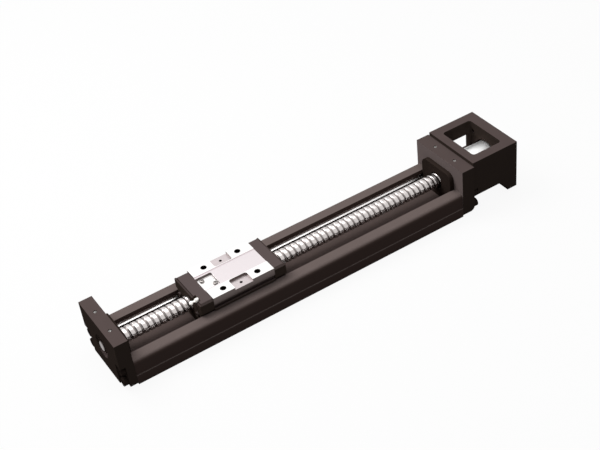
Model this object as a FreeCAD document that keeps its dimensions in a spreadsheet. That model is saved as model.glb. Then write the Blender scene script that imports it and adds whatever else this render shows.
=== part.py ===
import FreeCAD, Part
import Sketcher
import math
import os

# Ball screw linear module: a U-shaped steel rail carries a ball screw between two end blocks, and a
# carriage that is at once the ball nut and the guided slider runs between the rail's inner walls.
# The origin is on the rail's bottom face, at the middle of its length. +X points to the motor end.

DRIVING_SIZES = {
    # rail
    "rail_length": 300.0,
    "rail_width": 60.0,
    "rail_height": 22.0,
    "rail_floor": 7.5,
    "channel_width": 38.4,
    "side_step": 0.5,
    "side_step_height": 8.5,
    "rail_corner": 3.2,
    "floor_corner": 2.0,
    "mount_pitch": 100.0,
    "mount_gauge": 30.0,
    "mount_hole": 5.5,
    "mount_head_hole": 9.5,
    "mount_head_depth": 5.4,
    # running grooves of the guide balls
    "ball_size": 3.969,
    "ball_drop": 5.8,
    "groove_clearance": 0.14,
    "return_bore_gauge": 24.0,
    # screw
    "shaft_height": 22.5,
    "screw_size": 12.0,
    "screw_end_gap": 1.0,
    "shoulder_size": 10.0,
    "journal_size": 8.0,
    "drive_end_size": 6.0,
    "drive_end_length": 12.5,
    "lock_thread_runout": 1.0,
    # end blocks
    "end_block_rise": 22.0,
    "end_block_bottom": 1.5,
    "plate_thickness": 11.0,
    "housing_thickness": 12.0,
    "ear_thickness": 6.5,
    "ear_top": 21.5,
    "ear_start": 21.5,
    "housing_corner": 4.0,
    "end_screw_gauge": 52.0,
    "end_screw_low": 5.6,
    "end_screw_high": 16.1,
    "end_screw_grip": 7.6,
    "end_tap_runout": 2.0,
    "cover_hole_gauge": 25.0,
    "cover_hole": 3.0,
    "cover_hole_depth": 4.5,
    "pad_thickness": 4.0,
    "pad_width": 37.0,
    "pad_rise": 13.5,
    "pad_corner": 6.0,
    "pad_hole_clearance": 1.0,
    # fasteners
    "cap_screw": 4.0,
    "cap_head": 7.0,
    "cap_head_height": 4.0,
    "cap_socket": 3.0,
    "small_screw": 2.5,
    "thread_clearance": 0.03,
    "through_clearance": 0.25,
    # fixed bearing pair at the motor end
    "fixed_bearing_outside": 22.0,
    "fixed_bearing_width": 7.0,
    "housing_shoulder": 2.5,
    "housing_shoulder_hole": 17.0,
    "boss_size": 31.0,
    "boss_length": 4.2,
    "boss_fit": 0.03,
    "retainer_thickness": 2.0,
    "retainer_hole": 14.0,
    "retainer_screw_circle": 26.0,
    "retainer_screw_grip": 5.0,
    "retainer_tap_runout": 1.0,
    "spacer_size": 11.6,
    "spacer_length": 3.5,
    "lock_nut_size": 16.0,
    "lock_nut_length": 6.0,
    "lock_nut_slot": 2.4,
    "lock_nut_slot_depth": 1.4,
    # shaft coupling
    "coupling_size": 26.0,
    "coupling_length": 25.0,
    "coupling_gap": 2.5,
    "motor_shaft": 8.0,
    "motor_shaft_reach": 13.0,
    "clamp_slit": 1.0,
    "clamp_screw": 3.0,
    "clamp_head": 5.6,
    "clamp_head_seat": 5.0,
    "clamp_screw_drop": 8.4,
    "clamp_screw_inset": 5.5,
    "coupling_chamfer": 0.5,
    # support bearing
    "support_bearing_outside": 19.0,
    "support_bearing_width": 6.0,
    "support_shoulder": 3.0,
    "support_shoulder_hole": 14.5,
    "clip_thickness": 0.9,
    "clip_groove_depth": 0.4,
    "clip_size": 11.4,
    "clip_gap": 5.0,
    "clip_fit": 0.05,
    "bearing_fit": 0.02,
    "seat_fit": 0.11,
    "ring_share": 0.26,
    "bearing_seal": 0.8,
    "bearing_seal_inset": 0.3,
    # motor bracket
    "side_opening_relief": 2.2,
    "bracket_length": 45.5,
    "bracket_width": 57.0,
    "bracket_rise": 25.0,
    "bracket_bottom": 13.7,
    "bracket_front_wall": 7.3,
    "bracket_side_wall": 8.35,
    "flange_thickness": 9.5,
    "flange_bottom": 3.0,
    "flange_corner": 8.0,
    "window_corner": 2.6,
    "side_opening_rise": 12.1,
    "side_opening_bottom": 16.0,
    "front_foot_width": 38.0,
    "pilot_size": 30.0,
    "pilot_depth": 3.5,
    "flange_bore": 29.0,
    "motor_circle": 46.0,
    "motor_hole": 4.0,
    "bracket_screw_gauge": 27.8,
    "bracket_screw_rise": 14.5,
    "bracket_screw_grip": 8.0,
    "head_relief": 0.7,
    "flange_toe": 2.0,
    "side_opening_inset": 0.7,
    "bracket_tap_runout": 1.5,
    # carriage
    "carriage_place": -49.5,
    "block_length": 53.2,
    "block_width": 41.0,
    "block_rise": 12.0,
    "block_bottom": 9.0,
    "side_face_height": 6.5,
    "side_recess": 1.1,
    "slab_gap": 2.2,
    "stem_gap": 1.0,
    "screw_clearance": 0.8,
    "table_hole": 5.0,
    "table_hole_pitch": 30.0,
    "table_hole_gauge": 30.0,
    "table_hole_depth": 8.0,
    "channel_top_width": 19.0,
    "channel_top_depth": 0.6,
    "side_pocket_length": 15.4,
    "side_pocket_width": 10.5,
    "side_pocket_depth": 2.0,
    "side_pocket_corner": 2.0,
    "oil_hole": 2.4,
    "oil_hole_gauge": 31.5,
    "oil_hole_depth": 3.0,
    "front_pocket_length": 13.3,
    "front_pocket_width": 15.6,
    "front_pocket_depth": 4.1,
    "front_pocket_corner": 1.2,
    "front_cap_length": 9.9,
    "rear_cap_length": 8.6,
    "cap_drop": 0.8,
    "cap_inset": 0.5,
    "cap_tap_runout": 1.5,
    "cap_corner": 1.5,
    "seal_thickness": 1.5,
    "seal_drop": 1.0,
    "seal_inset": 0.3,
    "seal_lip": 0.35,
    "side_seal_thickness": 1.4,
    "side_seal_edge": 20.9,
    "side_seal_fit": 0.05,
    "cap_screw_gauge": 28.0,
    "cap_screw_drop": 1.5,
    "cap_screw_length": 18.0,
    "insert_thickness": 1.7,
    "insert_gap": 0.15,
    "insert_offset": 0.6,
    "return_leg": 2.9,
    "return_leg_gap": 0.3,
    "return_span": 8.2,
    "return_pitch": 7.1,
    "insert_screw": 2.0,
    "insert_screw_grip": 1.5,
    "nipple_place": 11.5,
    "nipple_rise": 9.4,
    "nipple_shank": 3.0,
    "nipple_shank_length": 4.5,
    "nipple_hole_runout": 0.5,
    "nipple_size": 4.0,
    "nipple_collar_length": 3.0,
    "nipple_neck": 2.4,
    "nipple_neck_length": 2.0,
    "nipple_tip": 3.4,
    "nipple_tip_length": 2.6,
    "notch_depth": 3.2,
    "notch_width": 8.0,
    "notch_clearance": 0.6,
    # how far a cut starts or ends outside the piece that it cuts
    "cut_margin": 1.0,
}

doc = FreeCAD.newDocument("ball_screw_module")
sheet = doc.addObject("Spreadsheet::Sheet", "sizes")
for row, (alias, number) in enumerate(DRIVING_SIZES.items(), start=1):
    sheet.set("A%d" % row, alias)
    sheet.set("B%d" % row, str(number))
    sheet.setAlias("B%d" % row, alias)
doc.recompute()


class Size:
    """A size as a number and as the formula, in terms of the sheet's cells, that gives it."""

    def __init__(self, formula, number):
        self.formula = formula
        self.number = number

    def joined(self, sign, other, number):
        return Size("(%s %s %s)" % (self.formula, sign, as_size(other).formula), number)

    def __add__(self, other):
        return self.joined("+", other, self.number + as_size(other).number)

    def __sub__(self, other):
        return self.joined("-", other, self.number - as_size(other).number)

    def __mul__(self, other):
        return self.joined("*", other, self.number * as_size(other).number)

    def __truediv__(self, other):
        return self.joined("/", other, self.number / as_size(other).number)

    def __neg__(self):
        return Size("(0 - %s)" % self.formula, -self.number)


def as_size(value):
    if isinstance(value, Size):
        return value
    return Size("(%r)" % float(value), float(value))


def size(alias):
    return Size("sizes.%s" % alias, float(sheet.get(alias)))


def turned(radius, degrees):
    """The two components of a radius at an angle."""
    across = Size("(%s * cos(%r))" % (radius.formula, degrees), radius.number * math.cos(math.radians(degrees)))
    along = Size("(%s * sin(%r))" % (radius.formula, degrees), radius.number * math.sin(math.radians(degrees)))
    return across, along


def bind(thing, name, value):
    thing.setExpression(name, as_size(value).formula)


ZERO = as_size(0)
cut_margin = size("cut_margin")
rail_end = size("rail_length") / 2
half_rail = size("rail_width") / 2
half_channel = size("channel_width") / 2
half_stem = half_channel - size("stem_gap")
ball_row = half_channel - size("stem_gap") / 2
shaft_height = size("shaft_height")
groove_radius = size("ball_size") / 2 + size("groove_clearance")
tapped_radius = size("cap_screw") / 2 + size("thread_clearance")
through_radius = size("cap_screw") / 2 + size("through_clearance")
small_tapped_radius = size("small_screw") / 2 + size("thread_clearance")
ball_height = size("rail_height") - size("ball_drop")
end_block_top = shaft_height + size("end_block_rise")
block_top = shaft_height + size("block_rise")
slab_bottom = size("rail_height") + size("slab_gap")
nipple_height = shaft_height + size("nipple_rise")


# Sketches and features

def new_body(label):
    return doc.addObject("PartDesign::Body", label)


def origin_plane(body, role):
    for feature in body.Origin.OriginFeatures:
        if feature.Role == role:
            return feature
    raise RuntimeError("no origin plane " + role)


def new_sketch(body, role, offset=ZERO):
    """A sketch on one of the body's own origin planes, moved along the plane's normal."""
    sketch = body.newObject("Sketcher::SketchObject", body.Label + "_sketch")
    sketch.AttachmentSupport = (origin_plane(body, role), [""])
    sketch.MapMode = "FlatFace"
    bind(sketch, "AttachmentOffset.Base.z", offset)
    return sketch


def hold_point(sketch, geometry, point, across, along):
    """Ties a point of the sketch to the origin by two sizes."""
    for kind, value in (("DistanceX", across), ("DistanceY", along)):
        value = as_size(value)
        index = sketch.addConstraint(Sketcher.Constraint(kind, -1, 1, geometry, point, value.number))
        bind(sketch, "Constraints[%d]" % index, value)


def outline(sketch, points):
    """A closed outline through points, each given by two sizes."""
    places = [FreeCAD.Vector(as_size(a).number, as_size(b).number, 0) for a, b in points]
    first = sketch.GeometryCount
    count = len(points)
    for index in range(count):
        sketch.addGeometry(Part.LineSegment(places[index], places[(index + 1) % count]), False)
    for index in range(count):
        following = first + (index + 1) % count
        sketch.addConstraint(Sketcher.Constraint("Coincident", first + index, 2, following, 1))
    for index, (across, along) in enumerate(points):
        hold_point(sketch, first + index, 1, across, along)


def rectangle(sketch, left, right, bottom, top):
    outline(sketch, [(left, bottom), (right, bottom), (right, top), (left, top)])


def circle(sketch, across, along, radius):
    radius = as_size(radius)
    centre = FreeCAD.Vector(as_size(across).number, as_size(along).number, 0)
    index = sketch.addGeometry(Part.Circle(centre, FreeCAD.Vector(0, 0, 1), radius.number), False)
    hold_point(sketch, index, 3, across, along)
    rule = sketch.addConstraint(Sketcher.Constraint("Radius", index, radius.number))
    bind(sketch, "Constraints[%d]" % rule, radius)


def finish_feature(body, feature, sketch, grows):
    """Recomputes the body and makes sure that the feature added or took away material."""
    body.Tip = feature
    sketch.Visibility = False
    doc.recompute()
    before = feature.BaseFeature.Shape.Volume if feature.BaseFeature else 0.0
    after = feature.Shape.Volume
    if grows and after <= before + 1e-6:
        raise RuntimeError("nothing added by " + feature.Label)
    if not grows and after >= before - 1e-6:
        raise RuntimeError("nothing cut by " + feature.Label)
    return feature


def pad(body, sketch, length, backwards=False):
    feature = body.newObject("PartDesign::Pad", body.Label + "_pad")
    feature.Profile = sketch
    feature.Reversed = backwards
    bind(feature, "Length", length)
    return finish_feature(body, feature, sketch, True)


def pocket(body, sketch, depth, backwards=False):
    feature = body.newObject("PartDesign::Pocket", body.Label + "_pocket")
    feature.Profile = sketch
    feature.Reversed = backwards
    bind(feature, "Length", depth)
    return finish_feature(body, feature, sketch, False)


def turn(body, sketch):
    """Revolves the sketch about its own horizontal axis."""
    feature = body.newObject("PartDesign::Revolution", body.Label + "_turned")
    feature.Profile = sketch
    feature.ReferenceAxis = (sketch, ["H_Axis"])
    feature.Angle = 360
    return finish_feature(body, feature, sketch, True)


def round_edges(body, radius, chosen, chamfer=False):
    """Rounds, or chamfers, the edges of the body that a test picks."""
    names = [
        "Edge%d" % (index + 1)
        for index, edge in enumerate(body.Shape.Edges)
        if chosen(edge)
    ]
    if not names:
        raise RuntimeError("no edges to round on " + body.Label)
    base = body.Tip
    kind = "PartDesign::Chamfer" if chamfer else "PartDesign::Fillet"
    feature = body.newObject(kind, body.Label + "_rounded")
    feature.Base = (base, names)
    bind(feature, "Size" if chamfer else "Radius", radius)
    body.Tip = feature
    doc.recompute()
    if feature.Shape.isNull():
        raise RuntimeError("cannot round " + body.Label)
    return feature


def runs_along(edge, axis):
    """True for a straight edge that runs along one axis."""
    if edge.Curve.TypeId != "Part::GeomLine":
        return False
    direction = edge.Curve.Direction
    return abs(abs((direction.x, direction.y, direction.z)["xyz".index(axis)]) - 1) < 1e-6


def near(value, wanted):
    return abs(value - as_size(wanted).number) < 0.01


def edge_middle(edge):
    return edge.CenterOfMass


# Simple solids, combined

def cylinder_along_x(start, length, across, height, radius, label="rod"):
    solid = doc.addObject("Part::Cylinder", label)
    bind(solid, "Radius", radius)
    bind(solid, "Height", length)
    solid.Placement = FreeCAD.Placement(FreeCAD.Vector(), FreeCAD.Rotation(FreeCAD.Vector(0, 1, 0), 90))
    place(solid, start, across, height)
    return solid


def hexagon_prism(width_across_flats, length, label="hexagon"):
    solid = doc.addObject("Part::Prism", label)
    solid.Polygon = 6
    bind(solid, "Circumradius", width_across_flats / math.sqrt(3))
    bind(solid, "Height", length)
    return solid


def place(solid, along, across, height):
    bind(solid, "Placement.Base.x", along)
    bind(solid, "Placement.Base.y", across)
    bind(solid, "Placement.Base.z", height)


def fused(label, solids):
    joined = doc.addObject("Part::MultiFuse", label)
    joined.Shapes = solids
    return joined


def cut(label, base, tool):
    result = doc.addObject("Part::Cut", label)
    result.Base = base
    result.Tool = tool
    return result


def grouped(label, solids):
    """One node of separate solids."""
    group = doc.addObject("Part::Compound", label)
    group.Links = solids
    doc.recompute()
    return group


def socket_screw(seat, across, height, shank, shank_length, head, head_height, socket, points_to_plus_x):
    """A socket-head screw along X, its head standing on the seat and its shank going into the work."""
    overlap = head_height / 4
    if points_to_plus_x:
        head_start = seat - head_height
        shank_start = seat - overlap
        socket_start = head_start - overlap
    else:
        head_start = seat
        shank_start = seat - shank_length
        socket_start = seat + head_height * 0.5
    head_solid = cylinder_along_x(head_start, head_height, across, height, head / 2, "screw_head")
    shank_solid = cylinder_along_x(shank_start, shank_length + overlap, across, height, shank / 2, "screw_shank")
    hexagon = hexagon_prism(socket, head_height * 0.5 + overlap, "screw_socket")
    hexagon.Placement = FreeCAD.Placement(FreeCAD.Vector(), FreeCAD.Rotation(FreeCAD.Vector(0, 1, 0), 90))
    place(hexagon, socket_start, across, height)
    return cut("screw", fused("screw_blank", [head_solid, shank_solid]), hexagon)


# Rail

plate_start = -rail_end - size("plate_thickness")
ear_face = -rail_end - size("ear_thickness")
housing_back = rail_end + size("housing_thickness")


def signed(side, value):
    return value if side > 0 else -value


def end_screw_spots():
    """Across and height of the four screws that hold an end block to the rail."""
    return [
        (signed(side, size("end_screw_gauge") / 2), size(level))
        for side in (-1, 1)
        for level in ("end_screw_low", "end_screw_high")
    ]


def build_rail():
    body = new_body("rail")
    upper = half_rail - size("side_step")
    height = size("rail_height")
    floor = size("rail_floor")
    step = size("side_step_height")
    sketch = new_sketch(body, "YZ_Plane", -rail_end)
    outline(sketch, [
        (-half_rail, ZERO), (half_rail, ZERO), (half_rail, step), (upper, step), (upper, height),
        (half_channel, height), (half_channel, floor), (-half_channel, floor), (-half_channel, height),
        (-upper, height), (-upper, step), (-half_rail, step),
    ])
    pad(body, sketch, size("rail_length"))
    round_edges(body, size("rail_corner"), lambda edge: runs_along(edge, "x")
                and near(edge_middle(edge).z, height) and near(abs(edge_middle(edge).y), upper))
    round_edges(body, size("floor_corner"), lambda edge: runs_along(edge, "x")
                and near(edge_middle(edge).z, floor) and near(abs(edge_middle(edge).y), half_channel))
    grooves = new_sketch(body, "YZ_Plane", -rail_end)
    for side in (-1, 1):
        circle(grooves, signed(side, ball_row), ball_height, groove_radius)
    pocket(body, grooves, size("rail_length"), backwards=True)
    spots = [
        (place_x, signed(side, size("mount_gauge") / 2))
        for place_x in (-size("mount_pitch"), ZERO, size("mount_pitch"))
        for side in (-1, 1)
    ]
    holes = new_sketch(body, "XY_Plane")
    for along, across in spots:
        circle(holes, along, across, size("mount_hole") / 2)
    pocket(body, holes, floor, backwards=True)
    heads = new_sketch(body, "XY_Plane", floor)
    for along, across in spots:
        circle(heads, along, across, size("mount_head_hole") / 2)
    pocket(body, heads, size("mount_head_depth"))
    for start, backwards in ((-rail_end, True), (rail_end, False)):
        tapped = new_sketch(body, "YZ_Plane", start)
        for across, level in end_screw_spots():
            circle(tapped, across, level, tapped_radius)
        pocket(body, tapped, size("end_screw_grip") + size("end_tap_runout"), backwards=backwards)


# End blocks

def block_outline(sketch):
    rectangle(sketch, -half_rail, half_rail, size("end_block_bottom"), end_block_top)


def cover_holes(body, along):
    """Two tapped holes in the top face."""
    holes = new_sketch(body, "XY_Plane", end_block_top)
    for side in (-1, 1):
        circle(holes, along, signed(side, size("cover_hole_gauge") / 2), size("cover_hole") / 2)
    pocket(body, holes, size("cover_hole_depth"))


def bearing_seat_radius(alias):
    return size(alias) / 2 + size("seat_fit")


def build_support_housing():
    body = new_body("support_housing")
    sketch = new_sketch(body, "YZ_Plane", plate_start)
    block_outline(sketch)
    pad(body, sketch, size("plate_thickness"))
    ears = new_sketch(body, "YZ_Plane", plate_start)
    for side in (-1, 1):
        inner = signed(side, size("ear_start"))
        outer = signed(side, half_rail + cut_margin * 2)
        rectangle(ears, inner, outer, ZERO, size("ear_top"))
    pocket(body, ears, size("plate_thickness") - size("ear_thickness"), backwards=True)
    screws = new_sketch(body, "YZ_Plane", ear_face)
    for across, level in end_screw_spots():
        circle(screws, across, level, through_radius)
    pocket(body, screws, size("ear_thickness"), backwards=True)
    seat = new_sketch(body, "YZ_Plane", plate_start)
    circle(seat, ZERO, shaft_height, bearing_seat_radius("support_bearing_outside"))
    pocket(body, seat, size("plate_thickness") - size("support_shoulder"), backwards=True)
    passage = new_sketch(body, "YZ_Plane", plate_start)
    circle(passage, ZERO, shaft_height, size("support_shoulder_hole") / 2)
    pocket(body, passage, size("plate_thickness"), backwards=True)
    cover_holes(body, -rail_end - size("plate_thickness") / 2)


retainer_screw_angles = (30, 150, 270)


def retainer_screw_spots():
    spots = []
    for angle in retainer_screw_angles:
        across, rise = turned(size("retainer_screw_circle") / 2, angle)
        spots.append((across, shaft_height + rise))
    return spots


def bracket_screw_spots():
    return [
        (signed(side, size("bracket_screw_gauge") / 2), shaft_height + signed(level, size("bracket_screw_rise")))
        for side in (-1, 1)
        for level in (-1, 1)
    ]


bearing_start = rail_end + size("housing_shoulder")
bearing_middle = bearing_start + size("fixed_bearing_width")
bearing_end = bearing_middle + size("fixed_bearing_width")


def build_fixed_housing():
    body = new_body("fixed_housing")
    sketch = new_sketch(body, "YZ_Plane", rail_end)
    block_outline(sketch)
    pad(body, sketch, size("housing_thickness"))
    round_edges(body, size("housing_corner"), lambda edge: runs_along(edge, "y")
                and near(edge_middle(edge).z, size("end_block_bottom"))
                and near(edge_middle(edge).x, housing_back))
    boss = new_sketch(body, "YZ_Plane", rail_end)
    circle(boss, ZERO, shaft_height, size("boss_size") / 2)
    pad(body, boss, size("housing_thickness") + size("boss_length"))
    screws = new_sketch(body, "YZ_Plane", rail_end)
    for across, level in end_screw_spots():
        circle(screws, across, level, through_radius)
    pocket(body, screws, size("housing_thickness"), backwards=True)
    seat = new_sketch(body, "YZ_Plane", bearing_start)
    circle(seat, ZERO, shaft_height, bearing_seat_radius("fixed_bearing_outside"))
    pocket(body, seat, size("housing_thickness") + size("boss_length"), backwards=True)
    passage = new_sketch(body, "YZ_Plane", rail_end)
    circle(passage, ZERO, shaft_height, size("housing_shoulder_hole") / 2)
    pocket(body, passage, size("housing_thickness"), backwards=True)
    bracket = new_sketch(body, "YZ_Plane", housing_back)
    for across, level in bracket_screw_spots():
        circle(bracket, across, level, tapped_radius)
    pocket(body, bracket, size("bracket_screw_grip") + size("bracket_tap_runout"))
    retainer = new_sketch(body, "YZ_Plane", housing_back + size("boss_length"))
    for across, level in retainer_screw_spots():
        circle(retainer, across, level, small_tapped_radius)
    pocket(body, retainer, size("retainer_screw_grip") + size("retainer_tap_runout"))
    cover_holes(body, rail_end + size("housing_thickness") / 2)


bracket_end = housing_back + size("bracket_length")
flange_face = bracket_end - size("flange_thickness")
front_wall_face = housing_back + size("bracket_front_wall")
half_bracket = size("bracket_width") / 2


def motor_hole_spots():
    spots = []
    for angle in (45, 135, 225, 315):
        across, rise = turned(size("motor_circle") / 2, angle)
        spots.append((across, shaft_height + rise))
    return spots


def build_motor_bracket():
    body = new_body("motor_bracket")
    top = shaft_height + size("bracket_rise")
    bottom = size("bracket_bottom")
    low = size("flange_bottom")
    sketch = new_sketch(body, "XZ_Plane", -half_bracket)
    slope = size("flange_corner")
    outline(sketch, [
        (housing_back, low), (front_wall_face, low), (front_wall_face, bottom), (flange_face - slope, bottom),
        (flange_face, low + size("flange_toe")), (flange_face, low), (bracket_end, low), (bracket_end, top),
        (housing_back, top),
    ])
    pad(body, sketch, size("bracket_width"))
    foot = new_sketch(body, "YZ_Plane", housing_back)
    for side in (-1, 1):
        inner = signed(side, size("front_foot_width") / 2)
        outer = signed(side, half_bracket + cut_margin)
        rectangle(foot, inner, outer, ZERO, bottom)
    pocket(body, foot, size("bracket_front_wall") + cut_margin, backwards=True)
    inner_width = half_bracket - size("bracket_side_wall")
    window = new_sketch(body, "XY_Plane", top)
    rectangle(window, front_wall_face, flange_face, -inner_width, inner_width)
    pocket(body, window, top)
    round_edges(body, size("window_corner"), lambda edge: runs_along(edge, "z")
                and near(abs(edge_middle(edge).y), inner_width)
                and front_wall_face.number - 0.01 < edge_middle(edge).x < flange_face.number + 0.01)
    opening = new_sketch(body, "XZ_Plane", -half_bracket)
    opening_end = flange_face + size("side_opening_relief")
    rectangle(opening, front_wall_face + size("side_opening_inset"), opening_end, size("side_opening_bottom"),
              shaft_height + size("side_opening_rise"))
    pocket(body, opening, size("bracket_side_wall") + cut_margin / 2, backwards=True)
    bore = new_sketch(body, "YZ_Plane", housing_back)
    circle(bore, ZERO, shaft_height, size("boss_size") / 2 + size("boss_fit"))
    pocket(body, bore, size("bracket_front_wall"), backwards=True)
    pilot = new_sketch(body, "YZ_Plane", bracket_end)
    circle(pilot, ZERO, shaft_height, size("pilot_size") / 2)
    pocket(body, pilot, size("pilot_depth"))
    through = new_sketch(body, "YZ_Plane", bracket_end)
    circle(through, ZERO, shaft_height, size("flange_bore") / 2)
    pocket(body, through, size("flange_thickness"))
    motor = new_sketch(body, "YZ_Plane", bracket_end)
    for across, level in motor_hole_spots():
        circle(motor, across, level, size("motor_hole") / 2)
    pocket(body, motor, size("flange_thickness"))
    screws = new_sketch(body, "YZ_Plane", housing_back)
    for across, level in bracket_screw_spots():
        circle(screws, across, level, through_radius)
    pocket(body, screws, size("bracket_front_wall"), backwards=True)
    relief = new_sketch(body, "YZ_Plane", housing_back)
    reach = size("cap_head") / 2 + size("head_relief")
    for side in (-1, 1):
        inner = signed(side, size("end_screw_gauge") / 2 - reach)
        outer = signed(side, half_bracket + cut_margin)
        rectangle(relief, inner, outer, bottom - cut_margin, size("end_screw_high") + reach)
    pocket(body, relief, size("cap_head_height") + size("head_relief"), backwards=True)


def build_stopper(label, start):
    body = new_body(label)
    half = size("pad_width") / 2
    bottom = size("rail_floor") + size("side_step")
    top = shaft_height + size("pad_rise")
    sketch = new_sketch(body, "YZ_Plane", start)
    rectangle(sketch, -half, half, bottom, top)
    pad(body, sketch, size("pad_thickness"))
    round_edges(body, size("pad_corner"), lambda edge: runs_along(edge, "x")
                and near(edge_middle(edge).z, top))
    round_edges(body, size("floor_corner"), lambda edge: runs_along(edge, "x")
                and near(edge_middle(edge).z, bottom))
    hole = new_sketch(body, "YZ_Plane", start)
    circle(hole, ZERO, shaft_height, size("screw_size") / 2 + size("pad_hole_clearance"))
    pocket(body, hole, size("pad_thickness"), backwards=True)


# Turned parts. Each is drawn on its own axis and then placed.

def new_turned(label, start, across, height, points):
    """A turned body from its half outline of (along, radius) pairs."""
    body = new_body(label)
    place(body, start, across, height)
    sketch = new_sketch(body, "XZ_Plane")
    outline(sketch, points)
    turn(body, sketch)
    return body


def tube_points(length, inner, outer):
    return [(ZERO, inner), (length, inner), (length, outer), (ZERO, outer)]


journal_radius = size("journal_size") / 2
lock_nut_start = bearing_end + size("spacer_length")
lock_nut_end = lock_nut_start + size("lock_nut_length")
support_bearing_start = plate_start + size("plate_thickness") - size("support_shoulder") \
    - size("support_bearing_width")


def build_screw():
    thread = size("screw_size") / 2
    shoulder = size("shoulder_size") / 2
    drive = size("drive_end_size") / 2
    thread_end = rail_end - size("screw_end_gap")
    support_shoulder = support_bearing_start + size("support_bearing_width")
    clip_start = support_bearing_start - size("clip_thickness") - size("clip_fit") * 2
    groove = journal_radius - size("clip_groove_depth")
    drive_start = lock_nut_end + size("lock_thread_runout")
    new_turned("ball_screw", ZERO, ZERO, shaft_height, [
        (plate_start, ZERO), (plate_start, journal_radius), (clip_start, journal_radius), (clip_start, groove),
        (support_bearing_start, groove), (support_bearing_start, journal_radius),
        (support_shoulder, journal_radius), (support_shoulder, shoulder), (-thread_end, shoulder),
        (-thread_end, thread), (thread_end, thread), (thread_end, shoulder), (bearing_start, shoulder),
        (bearing_start, journal_radius), (drive_start, journal_radius), (drive_start, drive),
        (drive_start + size("drive_end_length"), drive), (drive_start + size("drive_end_length"), ZERO),
    ])


def build_bearing(name, start, outside, width):
    """Outer and inner ring of a sealed ball bearing; returns the outline of the gap between them."""
    outer_radius = size(outside) / 2
    circle_radius = (outer_radius + journal_radius) / 2
    share = (outer_radius - journal_radius) * size("ring_share")
    bore = journal_radius + size("bearing_fit")
    new_turned(name + "_outer_ring", start, ZERO, shaft_height,
               tube_points(size(width), circle_radius + share, outer_radius))
    new_turned(name + "_inner_ring", start, ZERO, shaft_height,
               tube_points(size(width), bore, circle_radius - share))
    return circle_radius - share, circle_radius + share


def seal_ring(start, inner, outer):
    """A flat ring with a running gap to both rings of the bearing."""
    gap = size("seat_fit")
    outside = cylinder_along_x(start, size("bearing_seal"), ZERO, shaft_height, outer - gap, "seal_disc")
    inside = cylinder_along_x(start - cut_margin, size("bearing_seal") + cut_margin * 2, ZERO, shaft_height,
                              inner + gap, "seal_bore")
    return cut("seal_ring", outside, inside)


def build_bearings():
    inset = size("bearing_seal_inset")
    thickness = size("bearing_seal")
    build_bearing("fixed_bearing_front", bearing_start, "fixed_bearing_outside", "fixed_bearing_width")
    inner, outer = build_bearing("fixed_bearing_rear", bearing_middle, "fixed_bearing_outside",
                                 "fixed_bearing_width")
    grouped("fixed_bearing_seals", [
        seal_ring(bearing_start + inset, inner, outer), seal_ring(bearing_end - inset - thickness, inner, outer),
    ])
    inner, outer = build_bearing("support_bearing", support_bearing_start, "support_bearing_outside",
                                 "support_bearing_width")
    support_bearing_end = support_bearing_start + size("support_bearing_width")
    grouped("support_bearing_seals", [
        seal_ring(support_bearing_start + inset, inner, outer),
        seal_ring(support_bearing_end - inset - thickness, inner, outer),
    ])


def build_coupling():
    """A one-piece clamp coupling: two bores, a slit along it, and a cross screw at each end."""
    start = lock_nut_end + size("coupling_gap")
    length = size("coupling_length")
    end = start + length
    half = size("coupling_size") / 2
    body = new_body("shaft_coupling")
    sketch = new_sketch(body, "YZ_Plane", start)
    circle(sketch, ZERO, shaft_height, half)
    pad(body, sketch, length)
    screw_bore = new_sketch(body, "YZ_Plane", start)
    circle(screw_bore, ZERO, shaft_height, size("drive_end_size") / 2 + size("boss_fit"))
    pocket(body, screw_bore, length, backwards=True)
    motor_bore = new_sketch(body, "YZ_Plane", end)
    circle(motor_bore, ZERO, shaft_height, size("motor_shaft") / 2)
    pocket(body, motor_bore, size("motor_shaft_reach"))
    slit = new_sketch(body, "YZ_Plane", start)
    across = size("clamp_slit") / 2
    rectangle(slit, -across, across, shaft_height - half - cut_margin, shaft_height)
    pocket(body, slit, length, backwards=True)
    spots = (start + size("clamp_screw_inset"), end - size("clamp_screw_inset"))
    level = shaft_height - size("clamp_screw_drop")
    heads = new_sketch(body, "XZ_Plane", -size("clamp_head_seat"))
    shanks = new_sketch(body, "XZ_Plane", half)
    for along in spots:
        circle(heads, along, level, size("clamp_head") / 2 + size("through_clearance") / 2)
        circle(shanks, along, level, size("clamp_screw") / 2 + size("thread_clearance"))
    pocket(body, heads, half)
    pocket(body, shanks, half * 2)
    round_edges(body, size("coupling_chamfer"), lambda edge: edge.Curve.TypeId == "Part::GeomCircle"
                and near(edge.Curve.Radius, half) and edge.Curve.Axis.x ** 2 > 0.99, chamfer=True)


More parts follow.
